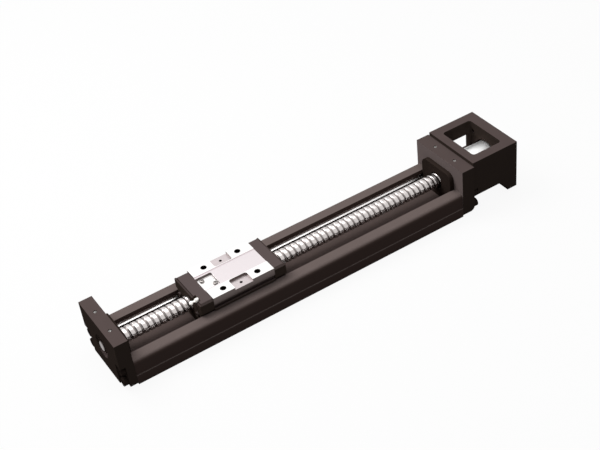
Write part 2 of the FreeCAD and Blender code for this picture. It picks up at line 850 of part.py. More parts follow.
def build_bearing_hardware():
    body = new_body("bearing_retainer")
    sketch = new_sketch(body, "YZ_Plane", bearing_end)
    circle(sketch, ZERO, shaft_height, size("boss_size") / 2)
    circle(sketch, ZERO, shaft_height, size("retainer_hole") / 2)
    pad(body, sketch, size("retainer_thickness"))
    holes = new_sketch(body, "YZ_Plane", bearing_end)
    for across, level in retainer_screw_spots():
        circle(holes, across, level, size("small_screw") / 2 + size("through_clearance") / 2)
    pocket(body, holes, size("retainer_thickness"), backwards=True)
    new_turned("bearing_spacer", bearing_end, ZERO, shaft_height,
               tube_points(size("spacer_length"), journal_radius + size("bearing_fit"), size("spacer_size") / 2))
    nut = new_body("lock_nut")
    sketch = new_sketch(nut, "YZ_Plane", lock_nut_start)
    circle(sketch, ZERO, shaft_height, size("lock_nut_size") / 2)
    circle(sketch, ZERO, shaft_height, journal_radius + size("thread_clearance"))
    pad(nut, sketch, size("lock_nut_length"))
    half = size("lock_nut_slot") / 2
    inner = size("lock_nut_size") / 2 - size("lock_nut_slot_depth")
    outer = size("lock_nut_size") / 2 + cut_margin
    slots = new_sketch(nut, "YZ_Plane", lock_nut_start)
    for side in (-1, 1):
        rectangle(slots, -half, half, shaft_height + signed(side, inner), shaft_height + signed(side, outer))
        rectangle(slots, signed(side, inner), signed(side, outer), shaft_height - half, shaft_height + half)
    pocket(nut, slots, size("lock_nut_length"), backwards=True)
    build_coupling()
    clip = new_body("shaft_clip")
    start = support_bearing_start - size("clip_thickness") - size("clip_fit")
    sketch = new_sketch(clip, "YZ_Plane", start)
    circle(sketch, ZERO, shaft_height, size("clip_size") / 2)
    circle(sketch, ZERO, shaft_height, journal_radius - size("clip_groove_depth") + size("clip_fit"))
    pad(clip, sketch, size("clip_thickness"))
    gap = new_sketch(clip, "YZ_Plane", start)
    half = size("clip_gap") / 2
    rectangle(gap, -half, half, shaft_height, shaft_height + size("clip_size"))
    pocket(clip, gap, size("clip_thickness"), backwards=True)


# Carriage

carriage = size("carriage_place")
block_start = carriage - size("block_length") / 2
block_end = carriage + size("block_length") / 2
front_cap_start = block_start - size("front_cap_length")
rear_cap_end = block_end + size("rear_cap_length")
front_seal_start = front_cap_start - size("seal_thickness")
half_block = size("block_width") / 2
screw_passage = size("screw_size") / 2 + size("screw_clearance")
pocket_floor = block_top - size("front_pocket_depth")
insert_middle = block_start + size("front_pocket_length") / 2 + size("insert_offset")


def return_spots(hand):
    """Two places on a diagonal over the screw; the hand picks which diagonal."""
    return [
        (insert_middle + signed(side, size("return_pitch") / 2), signed(side * hand, size("return_span") / 2))
        for side in (-1, 1)
    ]


def cap_screw_spots():
    return [(signed(side, size("cap_screw_gauge") / 2), shaft_height - size("cap_screw_drop")) for side in (-1, 1)]


def build_block():
    body = new_body("carriage_block")
    top = block_top
    recess = half_block - size("side_recess")
    face = top - size("side_face_height")
    slab = slab_bottom
    bottom = size("block_bottom")
    sketch = new_sketch(body, "YZ_Plane", block_start)
    outline(sketch, [
        (-half_block, top), (-half_block, face), (-recess, face), (-recess, slab), (-half_stem, slab),
        (-half_stem, bottom), (half_stem, bottom), (half_stem, slab), (recess, slab), (recess, face),
        (half_block, face), (half_block, top),
    ])
    pad(body, sketch, size("block_length"))
    passage = new_sketch(body, "YZ_Plane", block_start)
    circle(passage, ZERO, shaft_height, screw_passage)
    for side in (-1, 1):
        circle(passage, signed(side, ball_row), ball_height, groove_radius)
        circle(passage, signed(side, size("return_bore_gauge") / 2), ball_height, groove_radius)
    pocket(body, passage, size("block_length"), backwards=True)
    middle = new_sketch(body, "XY_Plane", top)
    half_middle = size("channel_top_width") / 2
    rectangle(middle, block_start - cut_margin, block_end + cut_margin, -half_middle, half_middle)
    pocket(body, middle, size("channel_top_depth"))
    table = new_sketch(body, "XY_Plane", top)
    for along in (-size("table_hole_pitch") / 2, size("table_hole_pitch") / 2):
        for side in (-1, 1):
            circle(table, carriage + along, signed(side, size("table_hole_gauge") / 2), size("table_hole") / 2)
    pocket(body, table, size("table_hole_depth"))
    half_pocket = size("side_pocket_length") / 2
    inner = half_block - size("side_pocket_width")
    pockets = new_sketch(body, "XY_Plane", top)
    for side in (-1, 1):
        rectangle(pockets, carriage - half_pocket, carriage + half_pocket,
                  signed(side, inner), signed(side, half_block + cut_margin * 2))
    pocket(body, pockets, size("side_pocket_depth"))
    round_edges(body, size("side_pocket_corner"), lambda edge: runs_along(edge, "z")
                and near(abs(edge_middle(edge).y), inner)
                and near(abs(edge_middle(edge).x - carriage.number), half_pocket))
    oil = new_sketch(body, "XY_Plane", top)
    for side in (-1, 1):
        circle(oil, carriage, signed(side, size("oil_hole_gauge") / 2), size("oil_hole") / 2)
    pocket(body, oil, size("side_pocket_depth") + size("oil_hole_depth"))
    half_front = size("front_pocket_width") / 2
    front = new_sketch(body, "XY_Plane", top)
    rectangle(front, block_start - cut_margin, block_start + size("front_pocket_length"), -half_front, half_front)
    pocket(body, front, size("front_pocket_depth"))
    round_edges(body, size("front_pocket_corner"), lambda edge: runs_along(edge, "z")
                and near(abs(edge_middle(edge).y), half_front)
                and near(edge_middle(edge).x, block_start + size("front_pocket_length")))
    legs = new_sketch(body, "XY_Plane", pocket_floor)
    for along, across in return_spots(1):
        circle(legs, along, across, size("return_leg") / 2 + size("bearing_fit"))
    pocket(body, legs, pocket_floor - shaft_height)
    fixing = new_sketch(body, "XY_Plane", pocket_floor)
    for along, across in return_spots(-1):
        circle(fixing, along, across, size("insert_screw") / 2 + size("thread_clearance"))
    pocket(body, fixing, size("insert_screw_grip"))
    for start, backwards in ((block_start, True), (block_end, False)):
        tapped = new_sketch(body, "YZ_Plane", start)
        for across, level in cap_screw_spots():
            circle(tapped, across, level, small_tapped_radius)
        grip = size("cap_screw_length") - size("rear_cap_length") - size("seal_thickness")
        pocket(body, tapped, grip + size("cap_tap_runout"), backwards=backwards)


def cap_outline(sketch, drop, inset):
    """A cap's shape: a wide head above the rail and a narrower part between its walls."""
    top = block_top - drop
    slab = slab_bottom
    bottom = size("block_bottom") + inset
    half = half_block - inset / 2
    stem = half_stem - inset
    outline(sketch, [
        (-half, top), (-half, slab), (-stem, slab), (-stem, bottom),
        (stem, bottom), (stem, slab), (half, slab), (half, top),
    ])


def notch(body, start, length):
    """Room for the grease nipple in the top front edge."""
    sketch = new_sketch(body, "XY_Plane", block_top)
    half = size("notch_width") / 2
    middle = -size("nipple_place")
    rectangle(sketch, start, start + length, middle - half, middle + half)
    bottom = nipple_height - size("nipple_size") / 2 - size("notch_clearance")
    pocket(body, sketch, block_top - bottom)


def build_cap(label, start, length, screw_hole):
    body = new_body(label)
    sketch = new_sketch(body, "YZ_Plane", start)
    cap_outline(sketch, size("cap_drop"), size("cap_inset"))
    pad(body, sketch, length)
    top = block_top - size("cap_drop")
    round_edges(body, size("cap_corner"), lambda edge: runs_along(edge, "x")
                and near(edge_middle(edge).z, top), chamfer=True)
    holes = new_sketch(body, "YZ_Plane", start)
    circle(holes, ZERO, shaft_height, screw_hole)
    for across, level in cap_screw_spots():
        circle(holes, across, level, size("small_screw") / 2 + size("through_clearance") / 2)
    pocket(body, holes, length, backwards=True)
    return body


def build_seal(label, start):
    body = new_body(label)
    sketch = new_sketch(body, "YZ_Plane", start)
    cap_outline(sketch, size("cap_drop") + size("seal_drop"), size("seal_inset"))
    pad(body, sketch, size("seal_thickness"))
    holes = new_sketch(body, "YZ_Plane", start)
    circle(holes, ZERO, shaft_height, size("screw_size") / 2 + size("seal_lip"))
    for across, level in cap_screw_spots():
        circle(holes, across, level, size("small_screw") / 2 + size("through_clearance") / 2)
    pocket(body, holes, size("seal_thickness"), backwards=True)
    return body


def build_carriage_ends():
    front = build_cap("end_cap_front", front_cap_start, size("front_cap_length"), screw_passage)
    notch(front, front_cap_start, size("notch_depth") - size("seal_thickness"))
    hole = new_sketch(front, "YZ_Plane", front_cap_start)
    circle(hole, -size("nipple_place"), nipple_height, size("nipple_shank") / 2 + size("bearing_fit"))
    depth = (size("notch_depth") - size("seal_thickness") + size("nipple_shank_length")
             + size("nipple_hole_runout"))
    pocket(front, hole, depth, backwards=True)
    build_cap("end_cap_rear", block_end, size("rear_cap_length"), screw_passage)
    front_seal = build_seal("end_seal_front", front_seal_start)
    notch(front_seal, front_seal_start, size("seal_thickness"))
    build_seal("end_seal_rear", rear_cap_end)
    for side, name in ((-1, "near"), (1, "far")):
        body = new_body("side_seal_" + name)
        sketch = new_sketch(body, "YZ_Plane", block_start)
        slab = slab_bottom
        rectangle(sketch, signed(side, half_stem + size("side_seal_fit")), signed(side, size("side_seal_edge")),
                  slab - size("side_seal_thickness"), slab)
        pad(body, sketch, size("block_length"))
    face = front_seal_start + size("notch_depth")
    shank = size("nipple_shank") / 2
    reach = size("nipple_collar_length")
    neck_end = reach + size("nipple_neck_length")
    tip_end = neck_end + size("nipple_tip_length")
    collar = size("nipple_size") / 2
    neck = size("nipple_neck") / 2
    tip = size("nipple_tip") / 2
    new_turned("grease_nipple", face, -size("nipple_place"), nipple_height, [
        (size("nipple_shank_length"), ZERO), (size("nipple_shank_length"), shank), (ZERO, shank), (ZERO, collar),
        (-reach, collar), (-reach, neck), (-neck_end, neck), (-neck_end, tip),
        (-tip_end + tip / 2, tip), (-tip_end, tip / 2), (-tip_end, ZERO),
    ])


def build_ball_return():
    """The insert that leads the nut's balls back over the screw, sunk in the block's front pocket."""
    body = new_body("ball_return_insert")
    gap = size("insert_gap")
    half_width = size("front_pocket_width") / 2 - gap
    far_end = block_start + size("front_pocket_length") - gap
    sketch = new_sketch(body, "XY_Plane", pocket_floor)
    rectangle(sketch, block_start + gap, far_end, -half_width, half_width)
    pad(body, sketch, size("insert_thickness"))
    round_edges(body, size("front_pocket_corner"), lambda edge: runs_along(edge, "z")
                and near(edge_middle(edge).x, far_end))
    fixing = new_sketch(body, "XY_Plane", pocket_floor)
    for along, across in return_spots(-1):
        circle(fixing, along, across, size("insert_screw") / 2 + size("through_clearance") / 2)
    pocket(body, fixing, size("insert_thickness"), backwards=True)
    legs = new_sketch(body, "XY_Plane", pocket_floor)
    for along, across in return_spots(1):
        circle(legs, along, across, size("return_leg") / 2)
    leg_end = shaft_height + size("screw_size") / 2 + size("return_leg_gap")
    pad(body, legs, pocket_floor - leg_end, backwards=True)


# Fasteners

def build_screws():
    shank = size("cap_screw")
    head = size("cap_head")

    def row(label, seat, spots, shank_length, points_to_plus_x):
        grouped(label, [
            socket_screw(seat, across, level, shank, shank_length, head, size("cap_head_height"),
                         size("cap_socket"), points_to_plus_x)
            for across, level in spots
        ])

    grip = size("end_screw_grip")
    row("support_housing_screws", ear_face, end_screw_spots(), size("ear_thickness") + grip, True)
    row("fixed_housing_screws", housing_back, end_screw_spots(), size("housing_thickness") + grip, False)
    row("motor_bracket_screws", front_wall_face, bracket_screw_spots(),
        size("bracket_front_wall") + size("bracket_screw_grip"), False)


build_rail()
build_support_housing()
build_fixed_housing()
build_motor_bracket()
build_stopper("stopper_motor_end", rail_end - size("pad_thickness"))
build_stopper("stopper_support_end", -rail_end)
build_screw()
build_bearings()
build_bearing_hardware()
build_block()
build_carriage_ends()
build_ball_return()
build_screws()
doc.recompute()

NODES = (
    "rail", "support_housing", "fixed_housing", "motor_bracket", "stopper_motor_end", "stopper_support_end",
    "ball_screw", "fixed_bearing_front_outer_ring", "fixed_bearing_front_inner_ring",
    "fixed_bearing_rear_outer_ring", "fixed_bearing_rear_inner_ring", "fixed_bearing_seals",
    "support_bearing_outer_ring", "support_bearing_inner_ring", "support_bearing_seals",
    "bearing_retainer", "bearing_spacer", "lock_nut", "shaft_coupling", "shaft_clip",
    "carriage_block", "end_cap_front", "end_cap_rear", "end_seal_front", "end_seal_rear",
    "side_seal_near", "side_seal_far", "grease_nipple", "ball_return_insert",
    "support_housing_screws", "fixed_housing_screws", "motor_bracket_screws",
)

os.makedirs("parts", exist_ok=True)
for thing in doc.Objects:
    if "Invalid" in thing.State or "Error" in thing.State:
        raise RuntimeError("cannot build " + thing.Label)
for node in NODES:
    found = [thing for thing in doc.Objects if thing.Label == node]
    if len(found) != 1:
        raise RuntimeError("no single object named " + node)
    shape = found[0].Shape
    if shape.isNull() or not shape.isValid():
        raise RuntimeError("not a valid shape: " + node)
    shape.exportStep("parts/%s.step" % node)
    box = shape.BoundBox
    print("%-34s solids %2d volume %9.1f  x %7.2f %7.2f  y %6.2f %6.2f  z %6.2f %6.2f" % (
        node, len(shape.Solids), shape.Volume, box.XMin, box.XMax, box.YMin, box.YMax, box.ZMin, box.ZMax))
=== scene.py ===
"""Looks of a ball screw linear module: finishes, the cut thread, the small screws, and the stage.

The CAD model comes in as the frame, and every operator finishes or adds the pieces of one group.
Lengths are in metres, but the profiles and places of turned pieces are in millimetres. X runs along
the rail to the motor end, Y to the far side, and Z up.
"""
import math
import bmesh
import bpy
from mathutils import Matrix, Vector


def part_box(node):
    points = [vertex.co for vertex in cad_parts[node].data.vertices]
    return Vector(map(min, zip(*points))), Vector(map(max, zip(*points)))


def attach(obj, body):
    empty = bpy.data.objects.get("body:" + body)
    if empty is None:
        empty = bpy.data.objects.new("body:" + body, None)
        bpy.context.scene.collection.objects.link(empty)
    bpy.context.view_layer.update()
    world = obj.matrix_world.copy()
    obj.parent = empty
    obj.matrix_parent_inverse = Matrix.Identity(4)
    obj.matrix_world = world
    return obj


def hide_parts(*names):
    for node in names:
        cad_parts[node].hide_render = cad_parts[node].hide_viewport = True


bl_info = {
    "name": "Ball Screw Module Looks",
    "version": (1, 0, 0),
    "blender": (4, 5, 0),
    "location": "3D View > Sidebar > Module",
    "description": "Finishes a ball screw linear module and sets it on a pale studio floor",
    "category": "Object",
}

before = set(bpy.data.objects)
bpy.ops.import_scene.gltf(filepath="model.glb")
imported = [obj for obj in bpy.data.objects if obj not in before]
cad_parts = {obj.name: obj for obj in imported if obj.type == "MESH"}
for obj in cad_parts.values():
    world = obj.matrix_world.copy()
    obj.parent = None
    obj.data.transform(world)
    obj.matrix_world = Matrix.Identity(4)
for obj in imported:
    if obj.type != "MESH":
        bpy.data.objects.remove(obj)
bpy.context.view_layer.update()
MM = 0.001

TO_MOTOR = (1.0, 0.0, 0.0)
TO_SUPPORT = (-1.0, 0.0, 0.0)
TO_FAR_SIDE = (0.0, 1.0, 0.0)
UP = (0.0, 0.0, 1.0)

# The finishes of the carriage's block change at these heights, and at the sides of its channel; the
# darker tones below the top are partly painted shade.
POCKET_FLOORS = 29.6 * MM
CHANNEL_FLOOR = 33.3 * MM
CHANNEL_WALLS = 33.7 * MM
GROUND_TOP = 34.2 * MM
CHANNEL_SIDE = 9.8 * MM

# Where the rail is ground, and where painted light, painted shade and a painted highlight go on its
# coat.
INNER_WALLS = 21.2 * MM
STRIP_FOOT = 14.0 * MM
STRIP_TOP = 16.5 * MM
FLOOR_HEIGHT = 8.0 * MM
WALL_TOPS = 21.0 * MM
OUTER_SIDES = 29.0 * MM
STEP_HEIGHT = 8.5 * MM
STEP_REACH = 0.4 * MM

# The screw's groove gets painted shade inside the first of these radii, and is bright outside the
# second.
GROOVE_RADIUS = 5.45 * MM
LAND_RADIUS = 5.9 * MM

STREAK_STRETCH = 30.0


# Colours and nodes

def linear(hex_colour):
    """An sRGB hex colour as linear RGBA."""
    channels = []
    for start in (1, 3, 5):
        value = int(hex_colour[start:start + 2], 16) / 255
        if value <= 0.04045:
            channels.append(value / 12.92)
        else:
            channels.append(((value + 0.055) / 1.055) ** 2.4)
    return (*channels, 1.0)


def add_node(tree, kind, settings=None, links=None):
    """Adds a node, sets its properties and sockets, and links its inputs."""
    node = tree.nodes.new(kind)
    for name, value in (settings or {}).items():
        if isinstance(name, int) or name in node.inputs:
            node.inputs[name].default_value = value
        else:
            setattr(node, name, value)
    for name, source in (links or {}).items():
        tree.links.new(source, node.inputs[name])
    return node


def new_material(name):
    """An empty material with its output node and the piece's own coordinates."""
    material = bpy.data.materials.new(name)
    material.use_nodes = True
    tree = material.node_tree
    tree.nodes.clear()
    output = add_node(tree, "ShaderNodeOutputMaterial")
    place = add_node(tree, "ShaderNodeTexCoord")
    return material, tree, output, place


def facing(tree, place, axis, sign=1.0):
    """1 on the faces that look along an axis, 0 on the others, soft over a rounded edge."""
    # Two tones mixed by this mask paint light on the faces that look along the axis and shade on
    # the others.
    parts = add_node(tree, "ShaderNodeSeparateXYZ", None, {"Vector": place.outputs["Normal"]})
    toward = add_node(tree, "ShaderNodeMapRange",
                      {"From Min": 0.45 * sign, "From Max": 0.9 * sign},
                      {"Value": parts.outputs[axis]})
    return toward.outputs["Result"]


def two_tones(tree, share, low, high):
    """Mixes two tones by a share from 0 to 1. Each is a colour or the socket that gives one."""
    settings = {"data_type": "RGBA"}
    links = {0: share}
    for socket, tone in ((6, low), (7, high)):
        if isinstance(tone, bpy.types.NodeSocket):
            links[socket] = tone
        else:
            settings[socket] = tuple(tone)
    return add_node(tree, "ShaderNodeMix", settings, links).outputs[2]


def wheel_streaks(tree, place, stretch=STREAK_STRETCH):
    """Streaks of a grinding wheel along X, many times as long as they are wide."""
    drawn_out = add_node(tree, "ShaderNodeMapping", {"Scale": (1.0, stretch, stretch)},
                         {"Vector": place.outputs["Object"]})
    # The wheel's real marks are some 0.05 mm apart. They are drawn at 0.15 mm so that they show,
    # which is 66 in 10 mm across the streaks.
    streaks = add_node(tree, "ShaderNodeTexNoise",
                       {"Scale": 66.0 / STREAK_STRETCH / (10.0 * MM), "Detail": 3.0,
                        "Roughness": 0.6},
                       {"Vector": drawn_out.outputs["Vector"]})
    return streaks.outputs["Fac"]


def grained(tree, pattern, smoothest, roughest, strength, depth):
    """A shader's links for roughness and relief, both drawn by one pattern."""
    rough = add_node(tree, "ShaderNodeMapRange", {"To Min": smoothest, "To Max": roughest},
                     {"Value": pattern})
    bump = add_node(tree, "ShaderNodeBump", {"Strength": strength, "Distance": depth},
                    {"Height": pattern})
    return {"Roughness": rough.outputs["Result"], "Normal": bump.outputs["Normal"]}


def dress(material, *nodes):
    """Gives CAD nodes a material."""
    for node in nodes:
        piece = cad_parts[node]
        piece.data.materials.clear()
        piece.data.materials.append(material)


# Materials

def ground_steel(name, colour, roughness, stretch=STREAK_STRETCH, strength=0.05):
    """Bearing steel, ground: near white where it faces the light, with the wheel's fine streaks.

    A stretch of 1 makes faint patches 4.5 mm wide of the streaks, for a plated or lapped piece.
    """
    material, tree, output, place = new_material(name)
    links = grained(tree, wheel_streaks(tree, place, stretch), smoothest=roughness - 0.05,
                    roughest=roughness + 0.07, strength=strength, depth=0.04 * MM)
    steel = add_node(tree, "ShaderNodeBsdfPrincipled",
                     {"Base Color": tuple(colour), "Metallic": 1.0}, links)
    tree.links.new(steel.outputs["BSDF"], output.inputs["Surface"])
    return material


def carriage_steel(colours):
    """The carriage's block, hardened: ground white on top, milled and duller in its pockets, which
    also get painted shade.

    Its sides and the pockets' walls are painted dark as shade, and the low walls of its channel are
    milled bright.
    """
    material, tree, output, place = new_material("carriage_steel")
    parts = add_node(tree, "ShaderNodeSeparateXYZ", None, {"Vector": place.outputs["Object"]})
    height = parts.outputs["Z"]
    floors = colours.dark_steel
    # The pocket floors are milled, and their darker tone is also painted shade in the pockets.
    for level, tone in ((POCKET_FLOORS, colours.pocket_steel),
                        (CHANNEL_FLOOR, colours.milled_steel),
                        (GROUND_TOP, colours.ground_steel)):
        above = add_node(tree, "ShaderNodeMath", {"operation": "GREATER_THAN", 1: level},
                         {0: height})
        floors = two_tones(tree, above.outputs[0], floors, tone)
    across = add_node(tree, "ShaderNodeMath", {"operation": "ABSOLUTE"}, {0: parts.outputs["Y"]})
    middle = add_node(tree, "ShaderNodeMath", {"operation": "LESS_THAN", 1: CHANNEL_SIDE},
                      {0: across.outputs[0]})
    shallow = add_node(tree, "ShaderNodeMath", {"operation": "GREATER_THAN", 1: CHANNEL_WALLS},
                       {0: height})
    lip = add_node(tree, "ShaderNodeMath", {"operation": "MULTIPLY"},
                   {0: middle.outputs[0], 1: shallow.outputs[0]})
    walls = two_tones(tree, lip.outputs[0], colours.dark_steel, colours.milled_steel)
    links = grained(tree, wheel_streaks(tree, place), smoothest=0.24, roughest=0.36,
                    strength=0.04, depth=0.04 * MM)
    # Painted light and shade: faces that look up take the floors' tones, and the others the dark
    # side tone.
    links["Base Color"] = two_tones(tree, facing(tree, place, "Z"), walls, floors)
    steel = add_node(tree, "ShaderNodeBsdfPrincipled", {"Metallic": 1.0}, links)
    tree.links.new(steel.outputs["BSDF"], output.inputs["Surface"])
    return material


def thread_steel(colours, axis_height):
    """Ground and hardened screw: bright satin lands, and a duller ball groove with painted shade.

    The two are told apart by their distance from the screw's axis.
    """
    material, tree, output, place = new_material("thread_steel")
    from_axis = add_node(tree, "ShaderNodeVectorMath",
                         {"operation": "MULTIPLY_ADD", 1: (0.0, 1.0, 1.0),
                          2: (0.0, 0.0, -axis_height)},
                         {0: place.outputs["Object"]})
    radius = add_node(tree, "ShaderNodeVectorMath", {"operation": "LENGTH"},
                      {0: from_axis.outputs["Vector"]})
    land = add_node(tree, "ShaderNodeMapRange",
                    {"From Min": GROOVE_RADIUS, "From Max": LAND_RADIUS},
                    {"Value": radius.outputs["Value"]})
    # Painted shade in the ball groove: it takes the darker groove tone.
    tone = two_tones(tree, land.outputs["Result"], colours.painted_groove_shade, colours.land_steel)
    # Running balls leave patches about 1.1 mm wide, 9 in 10 mm.
    patches = add_node(tree, "ShaderNodeTexNoise", {"Scale": 9.0 / (10.0 * MM), "Detail": 2.0},
                       {"Vector": place.outputs["Object"]})
    rough = add_node(tree, "ShaderNodeMapRange", {"To Min": 0.22, "To Max": 0.32},
                     {"Value": patches.outputs["Fac"]})
    steel = add_node(tree, "ShaderNodeBsdfPrincipled", {"Metallic": 1.0},
                     {"Base Color": tone, "Roughness": rough.outputs["Result"]})
    tree.links.new(steel.outputs["BSDF"], output.inputs["Surface"])
    return material


def turned_aluminium(colours):
    """Turned aluminium: bright and satin, with the tool's feed as fine rings round the axis."""
    material, tree, output, place = new_material("turned_aluminium")
    # The feed is about 0.1 mm a turn, drawn at 0.4 mm so that it shows.
    rings = add_node(tree, "ShaderNodeTexWave",
                     {"bands_direction": "X", "Scale": 0.314 / (0.4 * MM), "Distortion": 0.4},
                     {"Vector": place.outputs["Object"]})
    links = grained(tree, rings.outputs["Fac"], smoothest=0.42, roughest=0.52, strength=0.08,
                    depth=0.03 * MM)
    metal = add_node(tree, "ShaderNodeBsdfPrincipled",
                     {"Base Color": tuple(colours.aluminium), "Metallic": 1.0}, links)
    tree.links.new(metal.outputs["BSDF"], output.inputs["Surface"])
    return material


def blackened_steel(name, top, side, roughness, front=None):
    """Milled steel with a black conversion coat: warm and satin, with painted light on its tops.

    A front colour is painted light on the face that looks along -X.
    """
    material, tree, output, place = new_material(name)
    # Painted light and shade: the top colour on faces that look up, the side colour on the others.
    even = two_tones(tree, facing(tree, place, "Z"), side, top)
    faded = add_node(tree, "ShaderNodeHueSaturation", {"Value": 0.86}, {"Color": even})
    # The coat takes unevenly, in faint clouds about 11 mm wide, 9 in 100 mm.
    clouds = add_node(tree, "ShaderNodeTexNoise",
                      {"Scale": 9.0 / (100.0 * MM), "Detail": 4.0, "Roughness": 0.55},
                      {"Vector": place.outputs["Object"]})
    tone = two_tones(tree, clouds.outputs["Fac"], even, faded.outputs["Color"])
    # Painted light on the face that looks along -X.
    if front is not None:
        tone = two_tones(tree, facing(tree, place, "X", -1.0), tone, front)
    # The coat's grain is about 0.05 mm, drawn at 0.4 mm so that it shows.
    grain = add_node(tree, "ShaderNodeTexNoise", {"Scale": 1.0 / (0.4 * MM), "Detail": 2.0},
                     {"Vector": place.outputs["Object"]})
    links = grained(tree, grain.outputs["Fac"], smoothest=roughness - 0.05,
                    roughest=roughness + 0.06, strength=0.08, depth=0.03 * MM)
    links["Base Color"] = tone
    coat = add_node(tree, "ShaderNodeBsdfPrincipled", {"Specular IOR Level": 0.0}, links)
    tree.links.new(coat.outputs["BSDF"], output.inputs["Surface"])
    return material


def rail_steel(colours):
    """The rail: blackened, but ground bright along the ball grooves high on its inner walls.

    Painted light makes its tops lighter than its floor, which gets painted shade, and a painted
    highlight lies along the edge of the step on each side.
    """
    material, tree, output, place = new_material("rail_steel")
    parts = add_node(tree, "ShaderNodeSeparateXYZ", None, {"Vector": place.outputs["Object"]})
    height = parts.outputs["Z"]
    across = add_node(tree, "ShaderNodeMath", {"operation": "ABSOLUTE"}, {0: parts.outputs["Y"]})
    inside = add_node(tree, "ShaderNodeMath", {"operation": "LESS_THAN", 1: INNER_WALLS},
                      {0: across.outputs[0]})
    above = add_node(tree, "ShaderNodeMath", {"operation": "GREATER_THAN", 1: STRIP_FOOT},
                     {0: height})
    below = add_node(tree, "ShaderNodeMath", {"operation": "LESS_THAN", 1: STRIP_TOP},
                     {0: height})
    wall = add_node(tree, "ShaderNodeMath", {"operation": "MULTIPLY"},
                    {0: inside.outputs[0], 1: above.outputs[0]})
    strip = add_node(tree, "ShaderNodeMath", {"operation": "MULTIPLY"},
                     {0: wall.outputs[0], 1: below.outputs[0]})

    # The coat takes unevenly, in faint clouds about 17 mm wide, 6 in 100 mm, which vary the painted
    # light on it.
    clouds = add_node(tree, "ShaderNodeTexNoise", {"Scale": 6.0 / (100.0 * MM), "Detail": 4.0},
                      {"Vector": place.outputs["Object"]})
    cloud_share = add_node(tree, "ShaderNodeMapRange", {"To Min": 0.85, "To Max": 1.0},
                    {"Value": clouds.outputs["Fac"]})
    # Painted shade: the coat darkens toward the channel's floor, which takes half the lit share.
    lift = add_node(tree, "ShaderNodeMapRange",
                    {"From Min": FLOOR_HEIGHT, "From Max": WALL_TOPS, "To Min": 0.5},
                    {"Value": height})
    painted_light_share = add_node(tree, "ShaderNodeMath", {"operation": "MULTIPLY"},
                      {0: lift.outputs["Result"], 1: cloud_share.outputs["Result"]})
    # Painted light on the faces that look up.
    tops = add_node(tree, "ShaderNodeMath", {"operation": "MULTIPLY"},
                    {0: facing(tree, place, "Z"), 1: painted_light_share.outputs[0]})
    # A painted highlight line along the edge of the step on each outer side.
    step = add_node(tree, "ShaderNodeMath",
                    {"operation": "COMPARE", 1: STEP_HEIGHT, 2: STEP_REACH}, {0: height})
    outer = add_node(tree, "ShaderNodeMath", {"operation": "GREATER_THAN", 1: OUTER_SIDES},
                     {0: across.outputs[0]})
    edge = add_node(tree, "ShaderNodeMath", {"operation": "MULTIPLY"},
                    {0: step.outputs[0], 1: outer.outputs[0]})
    light = add_node(tree, "ShaderNodeMath", {"operation": "MAXIMUM"},
                     {0: tops.outputs[0], 1: edge.outputs[0]})

    # The coat's grain is about 0.05 mm, drawn at 0.67 mm so that it shows, 15 in 10 mm.
    grain = add_node(tree, "ShaderNodeTexNoise", {"Scale": 15.0 / (10.0 * MM), "Detail": 3.0},
                     {"Vector": place.outputs["Object"]})
    links = grained(tree, grain.outputs["Fac"], smoothest=0.36, roughest=0.48, strength=0.06,
                    depth=0.03 * MM)
    # coat_top is the painted light and coat_side the painted shade of one coat.
    links["Base Color"] = two_tones(tree, light.outputs[0], colours.coat_side, colours.coat_top)
    coat = add_node(tree, "ShaderNodeBsdfPrincipled", {"Specular IOR Level": 0.0}, links)
    ground = add_node(tree, "ShaderNodeBsdfPrincipled",
                      {"Base Color": tuple(colours.ground_steel), "Metallic": 1.0,
                       "Roughness": 0.25})
    both = add_node(tree, "ShaderNodeMixShader", None,
                    {0: strip.outputs[0], 1: coat.outputs["BSDF"], 2: ground.outputs["BSDF"]})
    tree.links.new(both.outputs["Shader"], output.inputs["Surface"])
    return material


def moulded_black(name, top, side, roughness, grit):
    """Black moulding: matte, with a spark-eroded grain that breaks up the highlight.

    Its tops can be lighter, which is painted light. The grit is the grain's width in metres.
    """
    material, tree, output, place = new_material(name)
    grain = add_node(tree, "ShaderNodeTexNoise", {"Scale": 1.0 / grit, "Detail": 2.0},
                     {"Vector": place.outputs["Object"]})
    links = grained(tree, grain.outputs["Fac"], smoothest=roughness - 0.08,
                    roughest=roughness + 0.08, strength=0.25, depth=0.05 * MM)
    # Painted light on the faces that look up, painted shade on the others.
    links["Base Color"] = two_tones(tree, facing(tree, place, "Z"), side, top)
    skin = add_node(tree, "ShaderNodeBsdfPrincipled", {"Specular IOR Level": 0.0}, links)
    tree.links.new(skin.outputs["BSDF"], output.inputs["Surface"])
    return material


# Meshes

def new_piece(name, mesh, material, body, smooth_angle=30.0):
    """An object from a bmesh, smooth but for its sharp edges, riding on a CAD body."""
    data = bpy.data.meshes.new(name)
    bmesh.ops.recalc_face_normals(mesh, faces=mesh.faces)
    limit = math.radians(smooth_angle)
    for face in mesh.faces:
        face.smooth = True
    for edge in mesh.edges:
        edge.smooth = len(edge.link_faces) == 2 and edge.calc_face_angle(0.0) < limit
    mesh.to_mesh(data)
    mesh.free()
    data.materials.append(material)
    piece = bpy.data.objects.new(name, data)
    bpy.context.scene.collection.objects.link(piece)
    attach(piece, body)
    return piece


